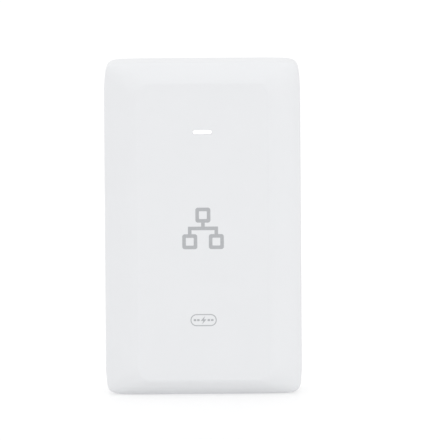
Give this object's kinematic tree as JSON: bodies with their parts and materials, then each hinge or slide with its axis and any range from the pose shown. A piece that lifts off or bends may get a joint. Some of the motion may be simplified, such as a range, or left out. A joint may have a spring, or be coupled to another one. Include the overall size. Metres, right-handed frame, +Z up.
{
  "type": "poe injector",
  "caption": "Upright white plastic power-over-Ethernet injector with a slot light on its front, mains inlet and network jacks in its base, and a slide-off wall bracket.",
  "frame": {"origin": "middle of the base, on the surface that it stands on", "axes": "+Z up, from the connector end to the closed end; the front face with the light looks along -Y; +X is to the right seen from the front"},
  "size_m": [0.066, 0.04, 0.112],
  "materials": {
    "case_white": "fine satin texture",
    "bracket_white": "fine satin texture",
    "light_pipe": "clear frosted",
    "black_plastic": "satin",
    "screw_steel": "zinc plated",
    "shield_steel": "tinned",
    "pin_nickel": "nickel plated",
    "contact_gold": "gold flashed",
    "board_green": "solder mask",
    "ceramic_blue": "lacquered",
    "film_yellow": "moulded",
    "ferrite_grey": "sintered",
    "copper_wire": "enamelled wire",
    "capacitor_sleeve": "shrunk sleeve",
    "aluminium": "mill finish",
    "winding_tape": "wrapped film",
    "pad_grey": "soft",
    "insulation_film": "smooth film"
  },
  "bodies": {
    "housing": {"front_cover": "case_white", "rear_cover": "case_white", "light_pipe": "light_pipe", "status_led": "light_pipe", "mains_inlet_housing": "black_plastic", "lan_jack_insert": "black_plastic", "poe_jack_insert": "black_plastic", "mains_fuse": "black_plastic", "inrush_thermistor": "black_plastic", "bridge_rectifier": "black_plastic", "switching_transistor": "black_plastic", "power_controller": "black_plastic", "optocoupler": "black_plastic", "output_rectifier": "black_plastic", "poe_switch_chip": "black_plastic", "lan_magnetics": "black_plastic", "poe_magnetics": "black_plastic", "cover_screw_1": "screw_steel", "cover_screw_2": "screw_steel", "cover_screw_3": "screw_steel", "cover_screw_4": "screw_steel", "lan_jack_shield": "shield_steel", "poe_jack_shield": "shield_steel", "inlet_pin_line": "pin_nickel", "inlet_pin_neutral": "pin_nickel", "inlet_pin_earth": "pin_nickel", "lan_jack_contacts": "contact_gold", "poe_jack_contacts": "contact_gold", "main_board": "board_green", "poe_switch_board": "board_green", "varistor": "ceramic_blue", "y_capacitor": "ceramic_blue", "x_capacitor": "film_yellow", "filter_choke_core": "ferrite_grey", "transformer_core": "ferrite_grey", "filter_choke_winding_left": "copper_wire", "filter_choke_winding_right": "copper_wire", "output_choke": "copper_wire", "bulk_capacitor": "capacitor_sleeve", "output_capacitor_1": "capacitor_sleeve", "output_capacitor_2": "capacitor_sleeve", "primary_heat_sink": "aluminium", "output_heat_sink": "aluminium", "heat_spreader": "aluminium", "transformer_winding": "winding_tape", "thermal_pad": "pad_grey", "insulation_sheet": "insulation_film"},
    "bracket": {"wall_bracket": "bracket_white"},
    "latch": {"bracket_latch": "bracket_white"}
  },
  "joints": [
    {"name": "bracket_slide", "type": "slide", "parent": "housing", "child": "bracket", "axis": [0, 0, 1], "range_m": [0, 0.095]},
    {"name": "latch_flex", "type": "hinge", "parent": "bracket", "child": "latch", "pos_m": [0, 0.0166, 0.042], "axis": [1, 0, 0], "range_deg": [0, 5], "stiffness_Nm_per_rad": 0.6}
  ]
}
